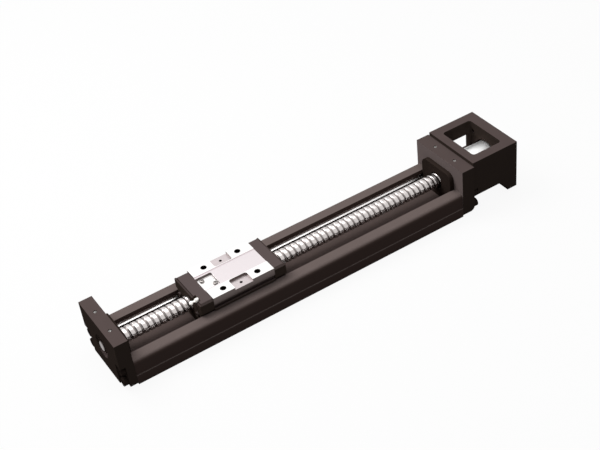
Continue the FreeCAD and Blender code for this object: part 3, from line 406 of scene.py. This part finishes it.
def turn_up(mesh, place, axis, rows, steps=24):
    """Turns a closed profile about an axis through a place.

    Each row is (radius, height) in millimetres, or (half across flats, height, 6) for a hexagon.
    """
    lean = Vector(axis).to_track_quat("Z", "Y")
    seat = Vector(place) * MM
    rings = []
    for radius, height, *sides in rows:
        ring = []
        for step in range(steps):
            angle = 2 * math.pi * step / steps
            reach = radius
            if sides:
                half = math.pi / sides[0]
                reach = radius / math.cos(angle % (2 * half) - half)
            point = Vector((reach * math.cos(angle), reach * math.sin(angle), height)) * MM
            ring.append(mesh.verts.new(seat + lean @ point))
        rings.append(ring)
    for low, high in zip(rings, rings[1:]):
        for step in range(steps):
            after = (step + 1) % steps
            mesh.faces.new((low[step], low[after], high[after], high[step]))
    mesh.faces.new(rings[0][::-1])
    mesh.faces.new(rings[-1])


def socket_cap(shank, length, head, height, key):
    """Profile of a socket head cap screw, with its seat at height 0."""
    bevel = head * 0.06
    lead_in = 0.12
    socket_floor = height * 0.45
    return (
        (shank / 2, -length), (shank / 2, 0), (head / 2, 0), (head / 2, height - bevel),
        (head / 2 - bevel, height), (key / 2 + lead_in, height, 6),
        (key / 2, height - lead_in, 6), (key / 2, socket_floor, 6),
    )


def set_screw(size, length, key):
    """Profile of a socket set screw, with its upper end at height 0."""
    point = 0.4
    bevel_width, bevel_depth = 0.25, 0.3
    socket_floor = -length * 0.4
    return (
        (size / 2 - point, -length), (size / 2, -length + point), (size / 2, -bevel_depth),
        (size / 2 - bevel_width, 0), (key / 2, 0, 6), (key / 2, socket_floor, 6),
    )


def add_screws(name, material, body, profile, seats):
    """One object with a screw at each seat, which is a place in millimetres and an axis."""
    mesh = bmesh.new()
    for place, axis in seats:
        turn_up(mesh, place, axis, profile)
    return new_piece(name, mesh, material, body)


def groove_radius(sizes, share):
    """Radius of the screw at a share of the pitch, from 0 to 1, with its groove in the middle."""
    radius = sizes.diameter / 2
    away = abs(share - 0.5) * sizes.lead
    if away >= math.sqrt(max(sizes.groove ** 2 - sizes.groove_rise ** 2, 0.0)):
        return radius
    return radius + sizes.groove_rise - math.sqrt(sizes.groove ** 2 - away ** 2)


def screw_mesh(sizes, low, high):
    """The ball screw from end to end of the CAD one: journals, shoulders and thread, in rings.

    A right-hand groove moves on along +X as it turns from +Y to +Z, so each row of the thread
    climbs by one lead in a turn, and is held back at the thread's ends.
    """
    middle = (low + high) / 2
    radius = sizes.diameter / 2
    steps = sizes.turn_steps
    pitch = sizes.pitch_steps
    shoulder, journal, drive = 5.0 * MM, 4.0 * MM, 3.0 * MM
    bevel, drive_bevel = 0.4 * MM, 0.5 * MM
    thread_start, thread_end = -149.0 * MM, 149.0 * MM
    support_shoulder, fixed_shoulder, drive_start = -153.0 * MM, 152.5 * MM, 177.0 * MM

    def ring(size, along, climb=0.0):
        """One ring of points, which climbs along the axis over a turn."""
        points = []
        for step in range(steps):
            angle = 2 * math.pi * step / steps
            level = along
            if climb:
                level = min(max(along + climb * step / steps, thread_start), thread_end)
            points.append(Vector((level, middle.y + size * math.cos(angle),
                                  middle.z + size * math.sin(angle))))
        return points

    start_rows = [
        ring(journal - bevel, low.x), ring(journal, low.x + bevel),
        ring(journal, support_shoulder), ring(shoulder, support_shoulder),
        ring(shoulder, thread_start), ring(radius - bevel, thread_start),
    ]
    count = int(round((thread_end - thread_start) / sizes.lead * pitch))
    thread_rows = []
    for row in range(-pitch, count + 1):
        along = thread_start + row * sizes.lead / pitch
        thread_rows.append(ring(groove_radius(sizes, (row % pitch) / pitch), along, sizes.lead))
    end_rows = [
        ring(shoulder, thread_end), ring(shoulder, fixed_shoulder),
        ring(journal, fixed_shoulder), ring(journal, drive_start),
        ring(drive, drive_start), ring(drive, high.x - drive_bevel),
        ring(drive - drive_bevel, high.x),
    ]

    mesh = bmesh.new()
    rings = [[mesh.verts.new(point) for point in row]
             for row in start_rows + thread_rows + end_rows]
    threaded = range(len(start_rows), len(start_rows) + len(thread_rows))
    for index, (before, after) in enumerate(zip(rings, rings[1:])):
        open_seam = index in threaded and index + 1 in threaded
        for step in range(steps - 1 if open_seam else steps):
            following = (step + 1) % steps
            mesh.faces.new((before[step], before[following], after[following], after[step]))
    # A row ends one lead further on than it starts, so the seam joins rows a pitch apart.
    for index in threaded:
        partner = index + pitch
        if partner + 1 in threaded:
            mesh.faces.new((rings[index][-1], rings[partner][0], rings[partner + 1][0],
                            rings[index + 1][-1]))
    mesh.faces.new(rings[0][::-1])
    mesh.faces.new(rings[-1])
    bmesh.ops.remove_doubles(mesh, verts=mesh.verts, dist=1e-6)
    return mesh


# Sizes and colours

# What every colour in the sidebar has in common.
COLOUR = {"size": 4, "subtype": "COLOR", "min": 0.0, "max": 1.0}


class FinishColours(bpy.types.PropertyGroup):
    """Colours of the finishes."""

    # Painted light and shade: the rail's coat on faces that look up and on its other faces, lit and
    # shaded copies of one coat.
    coat_top: bpy.props.FloatVectorProperty(
        name="Coated tops", description="Black coat on the rail's faces that look up",
        default=linear("#716562"), **COLOUR)
    coat_side: bpy.props.FloatVectorProperty(
        name="Coated sides", description="Black coat on the rail's other faces",
        default=linear("#4E403C"), **COLOUR)
    # Painted light and shade: the tops and sides of the end blocks and bracket are lit and shaded
    # copies of one coat.
    block_top: bpy.props.FloatVectorProperty(
        name="End block tops", description="Tops of the end blocks and the bracket",
        default=linear("#5C504E"), **COLOUR)
    block_side: bpy.props.FloatVectorProperty(
        name="End block sides", description="Sides of the end blocks and the bracket",
        default=linear("#423833"), **COLOUR)
    # Painted light on the fixed housing's face that looks along -X.
    painted_light_face: bpy.props.FloatVectorProperty(
        name="Painted light face", description="The fixed housing's face to the carriage",
        default=linear("#7F7270"), **COLOUR)
    ground_steel: bpy.props.FloatVectorProperty(
        name="Ground steel", description="The carriage's top, its insert and the rail's grooves",
        default=linear("#F6F4F3"), **COLOUR)
    milled_steel: bpy.props.FloatVectorProperty(
        name="Milled steel", description="The channel along the carriage's top",
        default=linear("#E2DADC"), **COLOUR)
    # Milled steel darkened further as painted shade in the side pockets.
    pocket_steel: bpy.props.FloatVectorProperty(
        name="Pocket steel", description="Floors of the side pockets",
        default=linear("#CEC4C5"), **COLOUR)
    # Painted shade on the carriage block's sides and walls.
    dark_steel: bpy.props.FloatVectorProperty(
        name="Dark steel", description="Sides and walls of the carriage's block",
        default=linear("#5E5553"), **COLOUR)
    land_steel: bpy.props.FloatVectorProperty(
        name="Land steel", description="Lands of the screw between its grooves",
        default=linear("#CFC9C7"), **COLOUR)
    # Painted shade for the bottom of the screw's ball groove.
    painted_groove_shade: bpy.props.FloatVectorProperty(
        name="Groove steel", description="Bottom of the screw's ball groove",
        default=linear("#746D6B"), **COLOUR)
    bearing_steel: bpy.props.FloatVectorProperty(
        name="Bearing steel", description="Rings of the bearings",
        default=linear("#DCDCDC"), **COLOUR)
    ball_steel: bpy.props.FloatVectorProperty(
        name="Ball steel", description="The guide balls",
        default=linear("#E4E4E4"), **COLOUR)
    aluminium: bpy.props.FloatVectorProperty(
        name="Aluminium", description="The shaft coupling",
        default=linear("#F1F1F0"), **COLOUR)
    nickel: bpy.props.FloatVectorProperty(
        name="Nickel", description="The grease nipple",
        default=linear("#F2EFEA"), **COLOUR)
    zinc: bpy.props.FloatVectorProperty(
        name="Zinc", description="Set screws in the end blocks",
        default=linear("#C9C7C4"), **COLOUR)
    dull_zinc: bpy.props.FloatVectorProperty(
        name="Dull zinc", description="Screws of the ball return's insert",
        default=linear("#8A8583"), **COLOUR)
    # Painted light and shade: lit tops and shaded sides of the black mouldings and screws.
    black_top: bpy.props.FloatVectorProperty(
        name="Black tops", description="Mouldings and screws, faces that look up",
        default=linear("#5E5352"), **COLOUR)
    black_side: bpy.props.FloatVectorProperty(
        name="Black sides", description="Mouldings and screws, other faces",
        default=linear("#443A34"), **COLOUR)
    # Painted light on the tops of the rubber seals.
    seal_top: bpy.props.FloatVectorProperty(
        name="Seal tops", description="Rubber seals of the carriage, faces that look up",
        default=linear("#4A403E"), **COLOUR)
    rubber: bpy.props.FloatVectorProperty(
        name="Rubber", description="Stoppers, bearing seals and mounting screws",
        default=linear("#342B27"), **COLOUR)


class ScrewSizes(bpy.types.PropertyGroup):
    """Sizes of the ball screw's thread."""

    lead: bpy.props.FloatProperty(
        name="Lead", description="Travel of the nut in one turn",
        default=5.0 * MM, min=1.0 * MM, unit="LENGTH")
    diameter: bpy.props.FloatProperty(
        name="Diameter", description="Outside diameter of the thread",
        default=12.0 * MM, min=4.0 * MM, unit="LENGTH")
    groove: bpy.props.FloatProperty(
        name="Groove radius", description="Radius of the ball groove's arc",
        default=1.25 * MM, min=0.3 * MM, unit="LENGTH")
    groove_rise: bpy.props.FloatProperty(
        name="Groove centre height",
        description="How far the arc's centre stands outside the thread's surface",
        default=0.7 * MM, min=0.0, unit="LENGTH")
    turn_steps: bpy.props.IntProperty(
        name="Steps a turn", description="Facets round the screw", default=72, min=12)
    pitch_steps: bpy.props.IntProperty(
        name="Steps a pitch", description="Rows of faces along one pitch", default=20, min=8)


class BallSizes(bpy.types.PropertyGroup):
    """Sizes of the rows of guide balls."""

    diameter: bpy.props.FloatProperty(
        name="Ball", description="Diameter of a guide ball",
        default=3.969 * MM, min=1.0 * MM, unit="LENGTH")
    pitch: bpy.props.FloatProperty(
        name="Pitch", description="Distance from ball to ball",
        default=4.2 * MM, min=1.0 * MM, unit="LENGTH")
    count: bpy.props.IntProperty(
        name="Balls a side", description="Loaded balls on each side", default=11, min=1)


class StageSizes(bpy.types.PropertyGroup):
    """Camera and lights."""

    lens: bpy.props.FloatProperty(
        name="Lens", description="Focal length on a 36 mm wide sensor", default=73.43, min=10.0)
    camera_place: bpy.props.FloatVectorProperty(
        name="Camera place", description="Where the camera stands",
        default=(-0.3315, -0.6481, 0.6368), subtype="XYZ", unit="LENGTH")
    camera_turn: bpy.props.FloatVectorProperty(
        name="Camera turn", description="The camera's rotation",
        default=(math.radians(50.857), math.radians(5.858), math.radians(-32.868)),
        subtype="EULER", unit="ROTATION")
    key_power: bpy.props.FloatProperty(
        name="Key light", description="Power of the main light", default=7.6, min=0.0)
    ambient: bpy.props.FloatProperty(
        name="Ambient", description="Strength of the world's light on the object",
        default=0.25, min=0.0)


# The pieces

class MODULE_OT_rail_and_blocks(bpy.types.Operator):
    """Finishes the rail, the end blocks, the motor bracket and the stoppers"""

    bl_idname = "module.rail_and_blocks"
    bl_label = "Rail and End Blocks"

    def execute(self, context):
        colours = context.scene.module_colours
        dress(rail_steel(colours), "rail")
        # A satin coat, so that the blocks' edges show by their tone and not by a shine: painted
        # light on their tops, painted shade on their sides.
        dress(blackened_steel("blackened_steel", colours.block_top, colours.block_side,
                              roughness=0.42),
              "support_housing", "motor_bracket")
        # The fixed housing also gets painted light on its face that looks along -X.
        dress(blackened_steel("blackened_steel_painted_light_front", colours.block_top, colours.block_side,
                              roughness=0.42, front=colours.painted_light_face),
              "fixed_housing")
        # Moulded rubber: the darkest of the outer pieces, and quite dull.
        dress(moulded_black("moulded_rubber", colours.rubber, colours.rubber, roughness=0.6,
                            grit=0.25 * MM),
              "stopper_motor_end", "stopper_support_end")
        return {"FINISHED"}


class MODULE_OT_drive(bpy.types.Operator):
    """Finishes the bearings, their fittings, the mounting screws and the shaft coupling"""

    bl_idname = "module.drive"
    bl_label = "Bearings and Coupling"

    def execute(self, context):
        colours = context.scene.module_colours
        # Bearing rings, ground and polished: nearly a mirror.
        dress(ground_steel("polished_bearing_steel", colours.bearing_steel, roughness=0.12),
              "fixed_bearing_front_outer_ring", "fixed_bearing_front_inner_ring",
              "fixed_bearing_rear_outer_ring", "fixed_bearing_rear_inner_ring",
              "support_bearing_outer_ring", "support_bearing_inner_ring")
        # Moulded seals: a dull black ring between the bright ones.
        dress(moulded_black("bearing_seal_rubber", colours.rubber, colours.rubber,
                            roughness=0.55, grit=0.2 * MM),
              "fixed_bearing_seals", "support_bearing_seals")
        # Black oxide is thinner than the blocks' coat, and a little smoother, with painted light on
        # its tops.
        dress(blackened_steel("black_oxide_fittings", colours.black_top, colours.black_side,
                              roughness=0.35),
              "bearing_retainer", "bearing_spacer", "lock_nut", "shaft_clip")
        dress(blackened_steel("black_oxide_screws", colours.rubber, colours.rubber,
                              roughness=0.35),
              "motor_bracket_screws", "support_housing_screws", "fixed_housing_screws")
        dress(turned_aluminium(colours), "shaft_coupling")
        return {"FINISHED"}


class MODULE_OT_carriage(bpy.types.Operator):
    """Finishes the carriage: ground block, moulded end caps, rubber seals and the ball return"""

    bl_idname = "module.carriage"
    bl_label = "Carriage"

    def execute(self, context):
        colours = context.scene.module_colours
        dress(carriage_steel(colours), "carriage_block")
        dress(ground_steel("ground_insert_steel", colours.ground_steel, roughness=0.3),
              "ball_return_insert")
        # Moulded glass filled nylon: matte charcoal, with a fine grain and painted light on its
        # tops.
        dress(moulded_black("glass_filled_nylon", colours.black_top, colours.black_side,
                            roughness=0.5, grit=0.2 * MM),
              "end_cap_front", "end_cap_rear")
        # Moulded nitrile rubber: darker than the caps on its tops, and duller; its tops still get
        # painted light.
        dress(moulded_black("nitrile_rubber", colours.seal_top, colours.black_side,
                            roughness=0.6, grit=0.25 * MM),
              "end_seal_front", "end_seal_rear", "side_seal_near", "side_seal_far")
        return {"FINISHED"}


class MODULE_OT_screw(bpy.types.Operator):
    """Cuts the ball groove: the plain CAD screw gives way to one with a right-hand groove"""

    bl_idname = "module.screw"
    bl_label = "Ball Screw"

    def execute(self, context):
        low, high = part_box("ball_screw")
        middle = (low + high) / 2
        mesh = screw_mesh(context.scene.module_screw, low, high)
        steel = thread_steel(context.scene.module_colours, middle.z)
        piece = new_piece("threaded_screw", mesh, steel, "screw", 40.0)
        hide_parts("ball_screw")
        return {"FINISHED"}


class MODULE_OT_small_screws(bpy.types.Operator):
    """Adds the small screws of the end caps, retainer, ball return, coupling and end blocks"""

    bl_idname = "module.small_screws"
    bl_label = "Small Screws"

    def execute(self, context):
        colours = context.scene.module_colours
        # Black oxide with painted light on the screws' tops.
        black = blackened_steel("black_oxide_small_screws", colours.black_top,
                                colours.black_side, roughness=0.35)
        # Zinc plate: pale, even and satin, and a darker, duller zinc for the insert's screws.
        zinc = ground_steel("zinc_plated_steel", colours.zinc, roughness=0.26, stretch=1.0)
        dull = ground_steel("dull_zinc_steel", colours.dull_zinc, roughness=0.4, stretch=1.0)

        front_cap, rear_cap, cap_reach, cap_height = -87.5, -12.8, 14.0, 21.0
        add_screws("end_cap_screws", black, "carriage",
                   socket_cap(shank=2.5, length=9.0, head=4.4, height=1.6, key=2.0),
                   [((along, across, cap_height), axis) for across in (-cap_reach, cap_reach)
                    for along, axis in ((front_cap, TO_SUPPORT), (rear_cap, TO_MOTOR))])

        retainer_face, shaft_height, circle = 168.5, 22.5, 13.0
        turns = [math.radians(angle) for angle in (30, 150, 270)]
        add_screws("retainer_screws", black, "base",
                   socket_cap(shank=2.5, length=4.5, head=4.4, height=1.6, key=2.0),
                   [((retainer_face, circle * math.cos(turn),
                      shaft_height + circle * math.sin(turn)), TO_MOTOR) for turn in turns])

        insert_top = 32.1
        pan_head = (
            (0.95, -1.4), (0.95, 0), (1.9, 0), (1.9, 0.7), (1.75, 1.1), (1.35, 1.4),
            (0.75, 1.5), (0.65, 1.45, 6), (0.6, 0.7, 6),
        )
        add_screws("insert_screws", dull, "carriage", pan_head,
                   [((along, across, insert_top), UP)
                    for along, across in ((-65.3, -4.1), (-72.4, 4.1))])

        clamp_seat, clamp_height = 5.0, 14.1
        add_screws("coupling_clamp_screws", black, "screw",
                   socket_cap(shank=2.9, length=12.0, head=5.4, height=3.0, key=2.5),
                   [((along, clamp_seat, clamp_height), TO_FAR_SIDE)
                    for along in (184.0, 198.0)])

        support_block, fixed_block, block_reach, sunk_height = -155.5, 156.0, 12.5, 44.2
        add_screws("end_block_set_screws", zinc, "base",
                   set_screw(size=2.4, length=5.0, key=1.3),
                   [((along, across, sunk_height), UP)
                    for along in (support_block, fixed_block)
                    for across in (-block_reach, block_reach)])
        return {"FINISHED"}


class MODULE_OT_guide_balls(bpy.types.Operator):
    """Adds the loaded rows of guide balls, between the carriage's block and the rail's grooves"""

    bl_idname = "module.guide_balls"
    bl_label = "Guide Balls"

    def execute(self, context):
        sizes = context.scene.module_balls
        carriage_middle, row_reach, row_height = -49.5, 18.7, 16.2
        slices, facets = 12, 16
        radius = sizes.diameter / 2 / MM
        turns = [math.pi * step / slices for step in range(1, slices)]
        ball = [(radius * math.sin(turn), -radius * math.cos(turn)) for turn in turns]
        mesh = bmesh.new()
        for across in (-row_reach, row_reach):
            for number in range(sizes.count):
                along = carriage_middle + (number - (sizes.count - 1) / 2) * sizes.pitch / MM
                turn_up(mesh, (along, across, row_height), UP, ball, facets)
        # Lapped balls: a clear mirror, with no marks of a wheel.
        steel = ground_steel("polished_ball_steel", context.scene.module_colours.ball_steel,
                             roughness=0.1, stretch=1.0, strength=0.0)
        new_piece("guide_balls", mesh, steel, "carriage", 60.0)
        return {"FINISHED"}


class MODULE_OT_grease_nipple(bpy.types.Operator):
    """Replaces the plain grease nipple by one with a hexagon, a cone and its check ball's seat"""

    bl_idname = "module.grease_nipple"
    bl_label = "Grease Nipple"

    def execute(self, context):
        low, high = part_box("grease_nipple")
        middle = (low + high) / 2 / MM
        cap_face = -84.3
        profile = (
            (1.45, -4.5), (1.45, 0.0), (1.73, 0.0, 6), (1.73, 2.7, 6), (1.5, 3.0), (1.2, 3.25),
            (1.15, 4.6), (1.3, 5.0), (1.7, 5.5), (1.7, 6.1), (1.45, 6.7), (0.85, 7.6),
            (0.5, 7.6), (0.42, 7.25), (0.2, 7.4),
        )
        mesh = bmesh.new()
        turn_up(mesh, (cap_face, middle.y, middle.z), TO_SUPPORT, profile)
        # Nickelled brass: a warm white plate, satin, so that it blurs what it reflects.
        plate = ground_steel("nickelled_brass", context.scene.module_colours.nickel,
                             roughness=0.34, stretch=1.0)
        piece = new_piece("detailed_grease_nipple", mesh, plate, "carriage")
        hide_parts("grease_nipple")
        return {"FINISHED"}


# Stage

def shown_directly(tree):
    """1 for a ray of the camera, a reflection or glass, and 0 for one that lights a surface."""
    path = add_node(tree, "ShaderNodeLightPath")
    first = add_node(tree, "ShaderNodeMath", {"operation": "MAXIMUM"},
                     {0: path.outputs["Is Camera Ray"], 1: path.outputs["Is Glossy Ray"]})
    return add_node(tree, "ShaderNodeMath", {"operation": "MAXIMUM"},
                    {0: first.outputs[0], 1: path.outputs["Is Transmission Ray"]}).outputs[0]


def floor_paint():
    """Pale matte paint, which shows a soft shadow and throws little light back on the sides."""
    material, tree, output, _ = new_material("studio_floor_paint")
    shown = shown_directly(tree)
    tone = two_tones(tree, shown, linear("#707070"), linear("#F0F0F0"))
    paint = add_node(tree, "ShaderNodeBsdfDiffuse", None, {"Color": tone})
    glow = add_node(tree, "ShaderNodeEmission", {"Strength": 1.0})
    glow_share = 0.92
    part = add_node(tree, "ShaderNodeMath", {"operation": "MULTIPLY", 1: glow_share}, {0: shown})
    mix = add_node(tree, "ShaderNodeMixShader", None,
                   {0: part.outputs[0], 1: paint.outputs["BSDF"], 2: glow.outputs["Emission"]})
    tree.links.new(mix.outputs["Shader"], output.inputs["Surface"])
    return material


def add_floor():
    """The studio floor, a large square just below the rail."""
    reach, drop = 6.0, 0.5 * MM
    corners = ((-reach, -reach), (reach, -reach), (reach, reach), (-reach, reach))
    mesh = bmesh.new()
    mesh.faces.new([mesh.verts.new((along, across, -drop)) for along, across in corners])
    data = bpy.data.meshes.new("studio_floor")
    mesh.to_mesh(data)
    mesh.free()
    data.materials.append(floor_paint())
    floor = bpy.data.objects.new("studio_floor", data)
    bpy.context.scene.collection.objects.link(floor)


def white_surroundings(ambient):
    """A world that is white where it is seen, and lights the object at the ambient strength."""
    world = bpy.data.worlds.new("studio")
    world.use_nodes = True
    tree = world.node_tree
    tree.nodes.clear()
    strength = add_node(tree, "ShaderNodeMapRange", {"To Min": ambient, "To Max": 1.0},
                        {"Value": shown_directly(tree)})
    sky = add_node(tree, "ShaderNodeBackground", {"Color": (1.0, 1.0, 1.0, 1.0)},
                   {"Strength": strength.outputs["Result"]})
    output = add_node(tree, "ShaderNodeOutputWorld")
    tree.links.new(sky.outputs["Background"], output.inputs["Surface"])
    return world


def add_area_light(name, place, size, power):
    """A soft rectangular light that looks at the middle of the rail's underside."""
    data = bpy.data.lights.new(name, "AREA")
    data.shape = "RECTANGLE"
    data.size, data.size_y = size
    data.energy = power
    light = bpy.data.objects.new(name, data)
    light.location = place
    aim = Vector((0.0, 0.0, 0.0))
    light.rotation_euler = (aim - Vector(place)).to_track_quat("-Z", "Y").to_euler()
    bpy.context.scene.collection.objects.link(light)


def add_camera(sizes):
    """The camera at the photograph's viewing angle."""
    data = bpy.data.cameras.new("photo_camera")
    data.lens = sizes.lens
    data.sensor_width = 36.0
    data.clip_start = 0.01
    camera = bpy.data.objects.new("photo_camera", data)
    camera.location = sizes.camera_place
    camera.rotation_euler = sizes.camera_turn
    bpy.context.scene.collection.objects.link(camera)
    bpy.context.scene.camera = camera


class MODULE_OT_stage(bpy.types.Operator):
    """Sets up the pale floor, the white surroundings, the soft lights and the camera"""

    bl_idname = "module.stage"
    bl_label = "Stage"

    def execute(self, context):
        sizes = context.scene.module_stage
        context.scene.view_settings.view_transform = "Standard"
        add_floor()
        context.scene.world = white_surroundings(sizes.ambient)
        add_area_light("key_light", place=(-0.35, 0.45, 0.9), size=(0.7, 0.7),
                       power=sizes.key_power)
        add_area_light("top_light", place=(0.2, 0.0, 1.0), size=(0.9, 0.5),
                       power=sizes.key_power * 0.4)
        add_camera(sizes)
        return {"FINISHED"}


class MODULE_PT_looks(bpy.types.Panel):
    """Lists the colours, the sizes and the steps in the sidebar"""

    bl_label = "Ball Screw Module"
    bl_space_type = "VIEW_3D"
    bl_region_type = "UI"
    bl_category = "Module"

    def draw(self, context):
        scene = context.scene
        for group in (scene.module_colours, scene.module_screw, scene.module_balls,
                      scene.module_stage):
            box = self.layout.box()
            for name in group.__annotations__:
                box.prop(group, name)
        for operator in STEPS:
            self.layout.operator(operator.bl_idname)


STEPS = (
    MODULE_OT_rail_and_blocks, MODULE_OT_drive, MODULE_OT_carriage, MODULE_OT_screw,
    MODULE_OT_small_screws, MODULE_OT_guide_balls, MODULE_OT_grease_nipple, MODULE_OT_stage,
)
CLASSES = (FinishColours, ScrewSizes, BallSizes, StageSizes, *STEPS, MODULE_PT_looks)


def register():
    """Registers the classes and puts the colours and sizes on the scene."""
    for item in CLASSES:
        bpy.utils.register_class(item)
    bpy.types.Scene.module_colours = bpy.props.PointerProperty(type=FinishColours)
    bpy.types.Scene.module_screw = bpy.props.PointerProperty(type=ScrewSizes)
    bpy.types.Scene.module_balls = bpy.props.PointerProperty(type=BallSizes)
    bpy.types.Scene.module_stage = bpy.props.PointerProperty(type=StageSizes)


def unregister():
    """Takes the colours and sizes off the scene, and the classes out again."""
    del bpy.types.Scene.module_stage
    del bpy.types.Scene.module_balls
    del bpy.types.Scene.module_screw
    del bpy.types.Scene.module_colours
    for item in reversed(CLASSES):
        bpy.utils.unregister_class(item)


def main():
    register()
    bpy.ops.module.rail_and_blocks()
    bpy.ops.module.drive()
    bpy.ops.module.carriage()
    bpy.ops.module.screw()
    bpy.ops.module.small_screws()
    bpy.ops.module.guide_balls()
    bpy.ops.module.grease_nipple()
    bpy.ops.module.stage()


if __name__ == "__main__":
    main()
